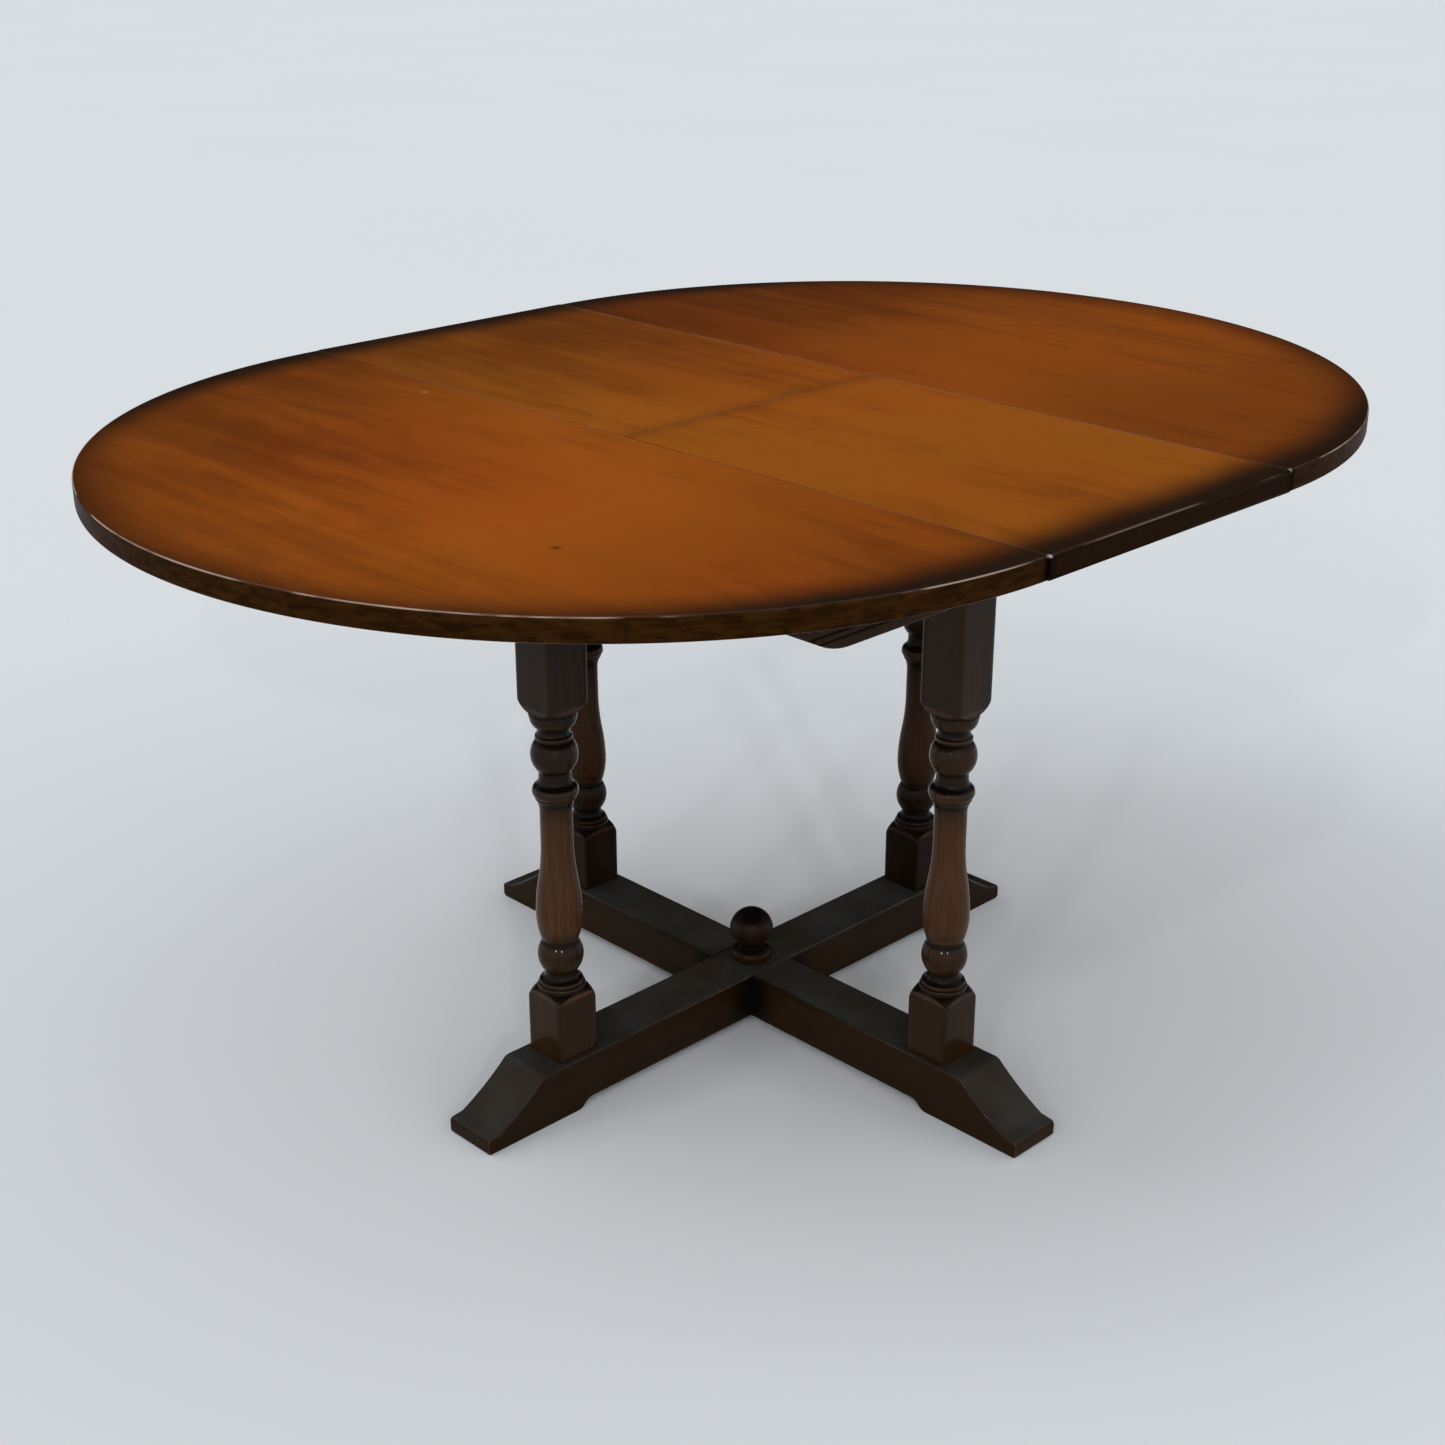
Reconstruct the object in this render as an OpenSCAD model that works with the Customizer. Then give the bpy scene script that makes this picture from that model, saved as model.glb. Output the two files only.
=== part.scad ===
// Extending dining table. Two half-round ends slide apart on runners, and a leaf that
// folds in two fills the gap between them. Four turned legs stand on two crossed foot rails.
// The origin is on the floor under the middle of the table, X runs along the extension.

/* [Top] */
// Height of the table surface above the floor
table_h = 760; // [745:1:775]
// Thickness of the top boards
board_t = 24; // [22:1:26]
// Radius of each half-round end
end_r = 558; // [545:1:565]
// Length of the leaf, from seam to seam
leaf_l = 389; // [380:1:395]
// Width of each half of the leaf, from the middle joint to its long edge
leaf_half_w = 560; // [545:1:567]
// Gap left at every joint between two top boards
board_gap = 0.4; // [0.3:0.1:0.6]
// Radius worked on the outer edges of the top boards
board_edge_r = 2.5; // [1.5:0.5:3]

/* [Leaf hinges] */
// Radius of a barrel hinge
barrel_r = 7; // [6:0.5:7.5]
// Length of one half of a barrel hinge
barrel_l = 20; // [16:1:24]
// Distance between neighbouring hinges
barrel_pitch = 130; // [110:1:145]

/* [Foot rails] */
// Half of the length of a foot rail
foot_half_l = 443; // [436:1:455]
// Width of a foot rail
foot_w = 69; // [64:1:72]
// Height of a foot rail
foot_h = 66; // [64:1:68]
// Clear height of the arch under a foot rail
foot_arch_h = 10.5; // [8:0.5:12]

/* [Legs] */
// Distance from the middle of the table to the axis of a leg
leg_out = 303; // [300:1:305]
// Side of the square blocks of a leg
leg_w = 55; // [53:1:56]
// Height at which the turning starts above the lower block
turn_low_z = 129; // [126:1:132]
// Height at which the turning ends under the upper block
turn_high_z = 499; // [496:1:502]

/* [Frame] */
// Height of the frame between the legs and the top boards
frame_h = 109; // [106:1:112]
// Height of the crossed bearers
bearer_h = 45; // [42:1:46]
// Width of the crossed bearers
bearer_w = 54; // [50:1:55]
// Distance from the middle of the table to the inner face of a side rail
rail_in = 330; // [330:1:333]
// Thickness of a side rail
rail_t = 22; // [20:1:24]
// Half of the length of a side rail along its top
rail_half_l = 430; // [420:1:440]
// Half of the length of a side rail's straight underside
rail_low_half_l = 244; // [235:1:250]

/* [Slides] */
// How far each end slides out from the leaf
end_travel = 50; // [40:1:52]
// Width of a runner
runner_w = 21.7; // [20:0.1:22]
// Height of a runner
runner_h = 46; // [44:1:48]
// Outer end of a runner, from the middle of the table
runner_out = 470; // [460:1:480]
// Height of the tongue that keeps a runner in its groove
tongue_h = 8; // [6:0.5:9]
// Distance from the middle of the table to the inner face of an end tie
tie_in = 266; // [264:1:270]

/* [Hidden] */
$fn = 64;
arc_steps = 5;
fit = 0.15;

// Heights of the frame
board_z = table_h - board_t;
frame_top_z = board_z - 0.3;
leg_top_z = board_z - frame_h;
bearer_top_z = leg_top_z + bearer_h;

// Crossing of the foot rails
halving_z = (foot_h + foot_arch_h) / 2;
foot_ramp_x = foot_half_l - 81;
pad_in_x = foot_half_l - 132;

// Joints between legs, rails and bearers
tenon_r = 13;
tenon_l = 30;
tenon_bevel = 1;
spigot_r = 7;
spigot_l = 40;
stub_l = 12;
mortise_l = stub_l + 0.3;
bearer_shoulder = 9;
bearer_stub_w = bearer_w - 2 * bearer_shoulder;
bearer_stub_h = bearer_h - 2 * bearer_shoulder;
bearer_stub_z = leg_top_z + bearer_shoulder;
bearer_halving_z = leg_top_z + bearer_h / 2;

// Side rails
rail_out = rail_in + rail_t;
rail_end_h = 14;
rail_curl = 38;
rail_curl_h = 9;
bead_hs = [12, 19.5];
bead_w = 3;
bead_deep = 2;

// Slides, with a small gap on every side of a tongue and of a runner
slide_gap = 0.2;
runner_gap = 0.3;
tongue_z = board_z - 36;
tongue_l = 7.7;
groove_l = tongue_l + 0.5;
runner_y = rail_in - runner_gap;
runner_z = board_z - runner_h;
runner_in = leaf_l / 2 + 1.6;
runner_screw_xs = [runner_in + 44, runner_in + 139, runner_out - 35];
counterbore_l = 22;
counterbore_gap = 0.6;

// Ties and the pegs that meet them
tie_t = 26;
tie_z = board_z - 81;
tie_h = 31;
tie_x = tie_in + tie_t / 2;
tie_shoulder = 5;
tie_stub_w = tie_t - 2 * tie_shoulder;
tie_stub_h = tie_h - 2 * tie_shoulder;
tie_stub_z = tie_z + tie_shoulder;
peg_r = 5;
peg_l = 30;
peg_drop = 14;
peg_gap = 0.5;
peg_x = tie_in - end_travel - peg_r - peg_gap;
peg_y = runner_y - runner_w / 2;

// Wood screws
screw_r = 2.2;
screw_head_r = 4.4;
screw_head_h = 3;
screw_tip_h = 6;
screw_slot_w = 1;
screw_slot_h = 1.2;
leg_screw_l = 70;
tie_screw_l = 40;
runner_screw_l = 36;

// Barrel hinges, with slots for the links inside them
barrel_sunk = 0.6;
barrel_gap = 0.1;
barrel_room = 0.9;
link_off = 2.2;
link_slot = 1.6;
link_slot_h = barrel_r * 1.5;
link_reach = 11;
link_pin_r = 1.1;
link_pin_drop = 2;

// Share of its radius by which a quarter round stands out from its chord
quarter_bulge = 1 - sqrt(1 / 2);

// How far a cut runs past the face it opens
over = 1;

base_colour = [0.16, 0.08, 0.05];
end_colour = [0.51, 0.25, 0.08];
leaf_colour = [0.57, 0.32, 0.08];
inner_colour = [0.45, 0.30, 0.17];
brass_colour = [0.78, 0.62, 0.30];
steel_colour = [0.60, 0.60, 0.62];

// Point at a share of the way along an arc from p to q. The arc's middle stands "bulge"
// to the right of the straight line from p to q, or to its left where bulge is negative.
function arc_point(p, q, bulge, share) =
    let (chord = norm(q - p))
    let (along = (q - p) / chord)
    let (half_turn = 2 * atan(2 * bulge / chord))
    let (radius = chord / (2 * sin(half_turn)))
    let (turn = half_turn * (2 * share - 1))
    let (run = radius * sin(turn))
    let (rise = radius * (cos(turn) - cos(half_turn)))
    (p + q) / 2 + run * along + rise * [along.y, -along.x];

// Outline through corners [x, y, bulge], where bulge shapes the stretch that ends there.
function outline(corners) = [
    for (i = [0:len(corners) - 1])
        let (here = [corners[i][0], corners[i][1]])
        let (bulge = corners[i][2])
        let (last = i == 0 ? here : [corners[i - 1][0], corners[i - 1][1]])
        let (steps = i == 0 || bulge == 0 ? 1 : arc_steps)
        for (step = [1:steps])
            step == steps ? here : arc_point(last, here, bulge, step / steps)
];

// Right half of an outline joined to its mirror image.
function mirrored(half) = concat(half, [for (i = [len(half) - 1:-1:0]) [-half[i].x, half[i].y]]);

// ---------- Shapes that repeat ----------

// Countersunk screw that points down from the origin, with a straight slot.
module wood_screw(length) {
    difference() {
        rotate_extrude()
            polygon([[0, 0], [screw_head_r, 0], [screw_r, -screw_head_h],
                     [screw_r, screw_tip_h - length], [0, -length]]);
        translate([-screw_head_r, -screw_slot_w / 2, -screw_slot_h])
            cube([2 * screw_head_r, screw_slot_w, screw_slot_h + over]);
    }
}

// Space that a screw of this length fills, a little larger than the screw.
module screw_hole(length) {
    head_r = screw_head_r + 0.2;
    shank_r = screw_r + 0.1;
    top_z = 0.01;
    tip_gap = 0.3;
    rotate_extrude()
        polygon([[0, top_z], [head_r, top_z], [shank_r, -screw_head_h],
                 [shank_r, screw_tip_h - length], [0, -length - tip_gap]]);
}

// The four places where the legs stand.
module at_legs() {
    for (turn = [0:90:270])
        rotate(turn)
            translate([leg_out, 0, 0])
                children();
}

// ---------- Crossed base ----------

// Foot rail along X: pads at both ends, an arch between them and a ramp down to each tip.
module foot_rail() {
    tip_h = 20;
    half = outline([
        [pad_in_x - 21, foot_arch_h, 0],
        [pad_in_x - 10, foot_arch_h * 0.55, -1.2],
        [pad_in_x, 0, 1.2],
        [foot_half_l - 4, 0, 0],
        [foot_half_l, 5, 1],
        [foot_half_l, tip_h - 5, 0],
        [foot_half_l - 5, tip_h, 1.4],
        [foot_half_l - 18, tip_h + 1.5, 0],
        [foot_ramp_x, foot_h - 1.5, -2.4],
        [foot_ramp_x - 6, foot_h, 0.35]
    ]);
    difference() {
        rotate([90, 0, 0])
            linear_extrude(height = foot_w, center = true)
                polygon(mirrored(half));
        for (side = [-1, 1])
            translate([side * leg_out, 0, foot_h - tenon_l - over])
                cylinder(h = tenon_l + 2 * over, r = tenon_r + fit);
        translate([0, 0, foot_h - spigot_l - over])
            cylinder(h = spigot_l + 2 * over, r = spigot_r + fit);
    }
}

// Space that one foot rail leaves for the other where they cross.
module halving(low_z, high_z) {
    translate([-foot_w / 2 - fit, -foot_w, low_z])
        cube([foot_w + 2 * fit, 2 * foot_w, high_z - low_z]);
}

module foot_rail_long() {
    color(base_colour)
        difference() {
            foot_rail();
            halving(-over, halving_z + fit);
        }
}

module foot_rail_cross() {
    color(base_colour)
        rotate(90)
            difference() {
                foot_rail();
                halving(halving_z, foot_h + over);
            }
}

// Turned ball on a ring, with a spigot that pins the crossing together.
module finial() {
    ring_r = 24;
    ring_h = 14;
    ball_r = 26.3;
    ball_z = 43;
    profile = outline([
        [0, -spigot_l, 0],
        [spigot_r - tenon_bevel, -spigot_l, 0],
        [spigot_r, -spigot_l + tenon_bevel, 0],
        [spigot_r, 0, 0],
        [ring_r, 0, 0],
        [ring_r, ring_h, 2.2],
        [17.2, ring_h + 3.5, -0.8],
        [17.8, ring_h + 11, -0.5],
        [ball_r, ball_z, 2.3],
        [0, ball_z + 23.5, 6.7]
    ]);
    color(base_colour)
        translate([0, 0, foot_h])
            rotate_extrude()
                polygon(profile);
}

// Lathe outline of a leg as [radius, height, bulge], from its lower to its upper tenon.
function leg_profile() =
    let (block_r = leg_w * 0.72)
    outline([
        [0, foot_h - tenon_l, 0],
        [tenon_r - tenon_bevel, foot_h - tenon_l, 0],
        [tenon_r, foot_h - tenon_l + tenon_bevel, 0],
        [tenon_r, foot_h, 0],
        [block_r, foot_h, 0],
        // Shoulder of the lower block and the double ring on it
        [block_r, turn_low_z, 0],
        [27.5, turn_low_z + 18, 1.6],
        [25.8, turn_low_z + 18.8, 0],
        [25.4, turn_low_z + 24.2, 1.3],
        [24.4, turn_low_z + 24.7, 0],
        [23.6, turn_low_z + 29, 0.8],
        [22.6, turn_low_z + 29.5, 0],
        // Neck, lower ball and vase
        [18.2, turn_low_z + 37, -1],
        [18.4, turn_low_z + 40, 0],
        [19.4, turn_low_z + 77.5, 6.9],
        [19.4, turn_low_z + 78.7, 0],
        [21.2, turn_low_z + 80.5, 0.4],
        [26, turn_low_z + 113, 1.4],
        [21.4, turn_low_z + 156, 0.9],
        [18.1, turn_low_z + 201, -0.9],
        [18, turn_low_z + 234, 0],
        [21.6, turn_low_z + 249.5, -1],
        // Bead and cove over the vase
        [22.6, turn_low_z + 251, 0.3],
        [21.8, turn_low_z + 251.8, 0],
        [22.2, turn_low_z + 266.5, 3.6],
        [21, turn_low_z + 267.3, 0],
        [17.8, turn_low_z + 277, -1],
        [17.8, turn_low_z + 282, 0],
        // Upper ball and its fillet
        [18.6, turn_low_z + 283.5, 0],
        [19, turn_low_z + 320, 7.3],
        [20.6, turn_low_z + 321, 0],
        [20.4, turn_low_z + 324, 0],
        // Neck, collar and shoulder of the upper block
        [17.6, turn_high_z - 40.5, -0.5],
        [17.7, turn_high_z - 37.5, 0],
        [25.9, turn_high_z - 24, 2],
        [26.5, turn_high_z - 19.4, 0.4],
        [25, turn_high_z - 18.6, 0],
        [block_r, turn_high_z, 1.6],
        [block_r, leg_top_z, 0],
        [tenon_r, leg_top_z, 0],
        [tenon_r, leg_top_z + tenon_l - tenon_bevel, 0],
        [tenon_r - tenon_bevel, leg_top_z + tenon_l, 0],
        [0, leg_top_z + tenon_l, 0]
    ]);

// Square leg turned between its blocks, with round tenons at both ends.
module leg() {
    color(base_colour)
        difference() {
            intersection() {
                rotate_extrude()
                    polygon(leg_profile());
                translate([-leg_w / 2, -leg_w / 2, 0])
                    cube([leg_w, leg_w, table_h]);
            }
            translate([0, 0, bearer_top_z])
                screw_hole(leg_screw_l);
        }
}

module leg_left() { translate([-leg_out, 0, 0]) leg(); }
module leg_right() { translate([leg_out, 0, 0]) leg(); }
module leg_front() { translate([0, -leg_out, 0]) leg(); }
module leg_back() { translate([0, leg_out, 0]) leg(); }

// ---------- Frame under the top ----------

// Bearer along X, mortised for two legs, with stub tenons of its own where it needs them.
module bearer(stubs) {
    difference() {
        union() {
            translate([-rail_in, -bearer_w / 2, leg_top_z])
                cube([2 * rail_in, bearer_w, bearer_h]);
            if (stubs)
                translate([-rail_in - stub_l, -bearer_stub_w / 2, bearer_stub_z])
                    cube([2 * (rail_in + stub_l), bearer_stub_w, bearer_stub_h]);
        }
        for (side = [-1, 1])
            translate([side * leg_out, 0, leg_top_z - over])
                cylinder(h = tenon_l + 1.5 * over, r = tenon_r + fit);
        for (side = [-1, 1])
            translate([side * leg_out, 0, bearer_top_z])
                screw_hole(leg_screw_l);
    }
}

// Space that one bearer leaves for the other where they cross.
module bearer_halving(low_z, high_z) {
    translate([-bearer_w / 2 - fit, -bearer_w, low_z])
        cube([bearer_w + 2 * fit, 2 * bearer_w, high_z - low_z]);
}

module bearer_long() {
    color(inner_colour)
        difference() {
            bearer(stubs = false);
            bearer_halving(leg_top_z - over, bearer_halving_z + fit);
            for (side = [-1, 1])
                translate([side * tie_x, 0, tie_z + tie_h])
                    screw_hole(tie_screw_l);
        }
}

module bearer_cross() {
    color(inner_colour)
        rotate(90)
            difference() {
                bearer(stubs = true);
                bearer_halving(bearer_halving_z, bearer_top_z + over);
            }
}

// Cut along the whole inside or outside of a side rail, from y outwards and from z up.
module rail_groove(y, z, deep, high) {
    translate([-rail_half_l - over, y, z])
        cube([2 * (rail_half_l + over), deep, high]);
}

// Mortise in a side rail for a stub tenon that is centred on x and starts at z.
module rail_mortise(x, z, stub_w, stub_h) {
    translate([x - stub_w / 2 - fit, rail_in - over, z - fit])
        cube([stub_w + 2 * fit, mortise_l + over, stub_h + 2 * fit]);
}

// Side rail with canted ends, a double bead along its face and a groove for the runners.
module side_rail() {
    half = outline([
        [rail_low_half_l - rail_curl / 2, leg_top_z, 0],
        [rail_low_half_l + rail_curl / 2, leg_top_z + rail_curl_h, 2.2],
        [rail_half_l, frame_top_z - rail_end_h, 0],
        [rail_half_l, frame_top_z, 0]
    ]);
    difference() {
        translate([0, rail_out, 0])
            rotate([90, 0, 0])
                linear_extrude(height = rail_t)
                    polygon(mirrored(half));
        for (bead_h = bead_hs)
            rail_groove(rail_out - bead_deep, leg_top_z + bead_h - bead_w / 2, bead_deep + over, bead_w);
        rail_groove(rail_in - over, tongue_z - slide_gap, groove_l + over, tongue_h + 2 * slide_gap);
        rail_mortise(0, bearer_stub_z, bearer_stub_w, bearer_stub_h);
        for (side = [-1, 1])
            rail_mortise(side * tie_x, tie_stub_z, tie_stub_w, tie_stub_h);
    }
}

module side_rail_back() { color(base_colour) side_rail(); }
module side_rail_front() { color(base_colour) rotate(180) side_rail(); }

// Tie between the side rails, notched over the long bearer.
module end_tie() {
    difference() {
        union() {
            translate([tie_in, -rail_in, tie_z])
                cube([tie_t, 2 * rail_in, tie_h]);
            translate([tie_x - tie_stub_w / 2, -rail_in - stub_l, tie_stub_z])
                cube([tie_stub_w, 2 * (rail_in + stub_l), tie_stub_h]);
        }
        translate([tie_in - over, -bearer_w / 2 - fit, tie_z - over])
            cube([tie_t + 2 * over, bearer_w + 2 * fit, bearer_top_z - tie_z + over + fit]);
        translate([tie_x, 0, tie_z + tie_h])
            screw_hole(tie_screw_l);
    }
}

module end_tie_right() { color(inner_colour) end_tie(); }
module end_tie_left() { color(inner_colour) rotate(180) end_tie(); }

module leg_screws() {
    color(steel_colour)
        at_legs()
            translate([0, 0, bearer_top_z])
                wood_screw(leg_screw_l);
}

module tie_screws() {
    color(steel_colour)
        for (side = [-1, 1])
            translate([side * tie_x, 0, tie_z + tie_h])
                wood_screw(tie_screw_l);
}

// ---------- Sliding ends ----------

// Cross-section of a top board from near to far, with the far edge rounded.
function board_profile(near, far) =
    let (bulge = board_edge_r * quarter_bulge)
    outline([
        [near, board_z, 0],
        [far - board_edge_r, board_z, 0],
        [far, board_z + board_edge_r, bulge],
        [far, table_h - board_edge_r, 0],
        [far - board_edge_r, table_h, bulge],
        [near, table_h, 0]
    ]);

// Half-round board to the right of the leaf.
module top_end() {
    difference() {
        translate([leaf_l / 2 + board_gap / 2, 0, 0])
            intersection() {
                rotate_extrude($fn = 180)
                    polygon(board_profile(0, end_r));
                translate([0, -end_r - over, board_z - over])
                    cube([end_r + over, 2 * (end_r + over), board_t + 2 * over]);
            }
        at_runner_screws()
            screw_hole(runner_screw_l);
    }
}

// Screws of both runners of the right end, pointing up.
module at_runner_screws() {
    for (side = [-1, 1])
        for (x = runner_screw_xs)
            translate([x, side * peg_y, runner_z + counterbore_l])
                mirror([0, 0, 1])
                    children();
}

// Runner on the +Y side of the right end, with a tongue along its outer face.
module runner() {
    difference() {
        union() {
            translate([runner_in, runner_y - runner_w, runner_z])
                cube([runner_out - runner_in, runner_w, runner_h]);
            translate([runner_in, runner_y - over, tongue_z])
                cube([runner_out - runner_in, tongue_l + over, tongue_h]);
        }
        for (x = runner_screw_xs)
            translate([x, peg_y, runner_z - over])
                cylinder(h = counterbore_l + over, r = screw_head_r + counterbore_gap);
        at_runner_screws()
            screw_hole(runner_screw_l);
        translate([peg_x, peg_y, runner_z - over])
            cylinder(h = peg_l - peg_drop + 1.5 * over, r = peg_r + fit);
    }
}

// Pegs that meet the end tie and stop the right end at the limit of its travel.
module stop_pegs() {
    color(inner_colour)
        for (side = [-1, 1])
            translate([peg_x, side * peg_y, runner_z - peg_drop])
                cylinder(h = peg_l, r = peg_r);
}

module runner_screws() {
    color(steel_colour)
        at_runner_screws()
            wood_screw(runner_screw_l);
}

module top_end_right() { color(end_colour) top_end(); }
module top_end_left() { color(end_colour) rotate(180) top_end(); }
module runner_right_back() { color(inner_colour) runner(); }
module runner_right_front() { color(inner_colour) mirror([0, 1, 0]) runner(); }
module runner_left_back() { color(inner_colour) mirror([1, 0, 0]) runner(); }
module runner_left_front() { color(inner_colour) rotate(180) runner(); }
module stop_pegs_right() { stop_pegs(); }
module stop_pegs_left() { rotate(180) stop_pegs(); }
module runner_screws_right() { runner_screws(); }
module runner_screws_left() { rotate(180) runner_screws(); }

// ---------- Folding leaf ----------

// Places of the hinge barrels along the middle joint.
module at_barrels() {
    for (i = [-1:1])
        translate([i * barrel_pitch, board_gap / 2, table_h - board_t / 2])
            rotate([-90, 0, 0])
                children();
}

// Half of the leaf on the +Y side, bored for the barrels.
module leaf_half() {
    half_l = leaf_l / 2 - board_gap / 2;
    difference() {
        translate([-half_l, 0, 0])
            rotate([90, 0, 90])
                linear_extrude(height = 2 * half_l)
                    polygon(board_profile(board_gap / 2, leaf_half_w));
        at_barrels()
            translate([0, 0, -over])
                cylinder(h = barrel_sunk + barrel_l + barrel_room + over, r = barrel_r + barrel_gap);
    }
}

// Brass barrels with slots for the links and a pin across them.
module leaf_barrels() {
    color(brass_colour)
        at_barrels() {
            difference() {
                translate([0, 0, barrel_sunk])
                    cylinder(h = barrel_l, r = barrel_r);
                for (side = [-1, 1])
                    translate([side * link_off - link_slot / 2, -link_slot_h / 2, 0])
                        cube([link_slot, link_slot_h, link_reach]);
            }
            translate([0, -link_pin_drop, link_reach / 2])
                rotate([0, 90, 0])
                    cylinder(h = 4 * link_off, r = link_pin_r, center = true);
        }
}

module leaf_half_back() { color(leaf_colour) leaf_half(); }
module leaf_half_front() { color(leaf_colour) rotate(180) leaf_half(); }
module leaf_barrels_back() { leaf_barrels(); }
module leaf_barrels_front() { rotate(180) leaf_barrels(); }

foot_rail_long();
foot_rail_cross();
finial();
leg_left();
leg_right();
leg_front();
leg_back();
bearer_long();
bearer_cross();
side_rail_front();
side_rail_back();
end_tie_left();
end_tie_right();
leg_screws();
tie_screws();
top_end_left();
runner_left_front();
runner_left_back();
stop_pegs_left();
runner_screws_left();
top_end_right();
runner_right_front();
runner_right_back();
stop_pegs_right();
runner_screws_right();
leaf_half_front();
leaf_half_back();
leaf_barrels_front();
leaf_barrels_back();
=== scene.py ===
"""Looks of an extending dining table: finished woods and metals, floor, light and camera.

Every length is in metres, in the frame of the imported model: X along the extension, Z up.
"""
import math

import bmesh
import bpy
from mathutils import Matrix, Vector


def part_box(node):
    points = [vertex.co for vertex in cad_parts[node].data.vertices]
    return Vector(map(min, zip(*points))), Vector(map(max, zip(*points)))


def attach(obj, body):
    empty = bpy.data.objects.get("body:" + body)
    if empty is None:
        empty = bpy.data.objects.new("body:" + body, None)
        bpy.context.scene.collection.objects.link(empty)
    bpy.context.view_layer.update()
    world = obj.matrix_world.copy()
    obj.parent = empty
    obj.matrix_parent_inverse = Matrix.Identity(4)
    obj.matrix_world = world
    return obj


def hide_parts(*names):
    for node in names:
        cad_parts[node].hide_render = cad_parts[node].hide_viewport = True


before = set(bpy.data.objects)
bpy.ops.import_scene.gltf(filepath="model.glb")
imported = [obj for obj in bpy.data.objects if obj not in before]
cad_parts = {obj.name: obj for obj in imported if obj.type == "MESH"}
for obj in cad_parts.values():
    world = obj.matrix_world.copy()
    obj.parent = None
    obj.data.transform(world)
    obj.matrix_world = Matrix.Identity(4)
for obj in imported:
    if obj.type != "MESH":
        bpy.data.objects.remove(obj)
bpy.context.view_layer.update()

MM = 0.001


# ---------- Measures taken from the frame ----------

SEAM_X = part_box("top_end_right")[0].x
END_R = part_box("top_end_right")[1].y
BOARD_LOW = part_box("top_end_right")[0].z
BOARD_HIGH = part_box("top_end_right")[1].z
LEAF_LOW, LEAF_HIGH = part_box("leaf_half_back")
FOOT_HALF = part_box("foot_rail_long")[1].x
FOOT_HALF_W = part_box("foot_rail_long")[1].y
FOOT_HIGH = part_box("foot_rail_long")[1].z
FOOT_ARCH = 10.5 * MM
HALVING_Z = (FOOT_HIGH + FOOT_ARCH) / 2
LEG_LOW, LEG_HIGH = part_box("leg_right")
LEG_OUT = (LEG_LOW.x + LEG_HIGH.x) / 2
LEG_HALF_W = LEG_HIGH.y
LEG_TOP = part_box("bearer_long")[0].z
RAIL_LOW, RAIL_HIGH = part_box("side_rail_back")


# ---------- Outlines ----------

STRAIGHT = 0.02  # Sine of the turn below which two edges count as one line


def arc_points(start, end, bulge, steps):
    """Points after start, up to end, on an arc whose middle stands bulge right of the chord."""
    start, end = Vector(start), Vector(end)
    chord = (end - start).length
    if not bulge:
        return [end]
    along = (end - start) / chord
    right = Vector((along.y, -along.x))
    half_turn = 2 * math.atan(2 * bulge / chord)
    radius = chord / (2 * math.sin(half_turn))
    points = []
    for step in range(1, steps + 1):
        turn = half_turn * (2 * step / steps - 1)
        run = radius * math.sin(turn)
        rise = radius * (math.cos(turn) - math.cos(half_turn))
        points.append((start + end) / 2 + run * along + rise * right)
    return points


def outline(corners, steps=10):
    """Points through corners (x, y, bulge), where bulge shapes the stretch that ends there."""
    points = [Vector(corners[0][:2])]
    for corner in corners[1:]:
        points += arc_points(points[-1], corner[:2], corner[2], steps)
    return points


def mirrored(half):
    """Right half of an outline joined to its mirror image."""
    return half + [Vector((-p.x, p.y)) for p in reversed(half)]


def inset(points, eases, share):
    """The closed outline moved inwards, each edge by its own ease times share."""
    count = len(points)
    moved = []
    for i in range(count):
        before = (points[i] - points[i - 1]).normalized()
        after = (points[(i + 1) % count] - points[i]).normalized()
        in_before = Vector((-before.y, before.x)) * eases[i - 1] * share
        in_after = Vector((-after.y, after.x)) * eases[i] * share
        cross = before.x * after.y - before.y * after.x
        if abs(cross) < STRAIGHT:
            moved.append(points[i] + (in_before + in_after) / 2)
            continue
        gap = in_after - in_before
        run = (gap.x * after.y - gap.y * after.x) / cross
        moved.append(points[i] + in_before + before * run)
    return moved


# ---------- Meshes ----------

ARRIS_STEPS = 5
SUPPORT = 0.5  # Width of the flat ring beside an arris, as a share of the arris
BROAD = 3 * MM  # Width from which a carved face counts as broad
FACE_WEIGHT = 90  # How much the larger faces decide the shading of an arris


def new_piece(name, verts, faces, relief):
    """A smooth mesh with a relief value per vertex: 1 on worn edges, -1 in hollows."""
    mesh = bpy.data.meshes.new(name)
    mesh.from_pydata([tuple(v) for v in verts], [], faces)
    mesh.validate()
    layer = mesh.attributes.new("relief", "FLOAT", "POINT")
    layer.data.foreach_set("value", relief)
    mesh.polygons.foreach_set("use_smooth", [True] * len(mesh.polygons))
    piece = bpy.data.objects.new(name, mesh)
    bpy.context.scene.collection.objects.link(piece)
    return piece


def apply_modifiers(piece):
    """Bakes the piece's modifiers into its mesh."""
    graph = bpy.context.evaluated_depsgraph_get()
    baked = bpy.data.meshes.new_from_object(piece.evaluated_get(graph))
    piece.modifiers.clear()
    piece.data = baked
    baked.name = piece.name


def flatten_normals(piece):
    """Large faces keep flat shading, and the eased edges blend between them."""
    weighted = piece.modifiers.new("normals", "WEIGHTED_NORMAL")
    weighted.keep_sharp = True
    weighted.weight = FACE_WEIGHT
    apply_modifiers(piece)


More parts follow.
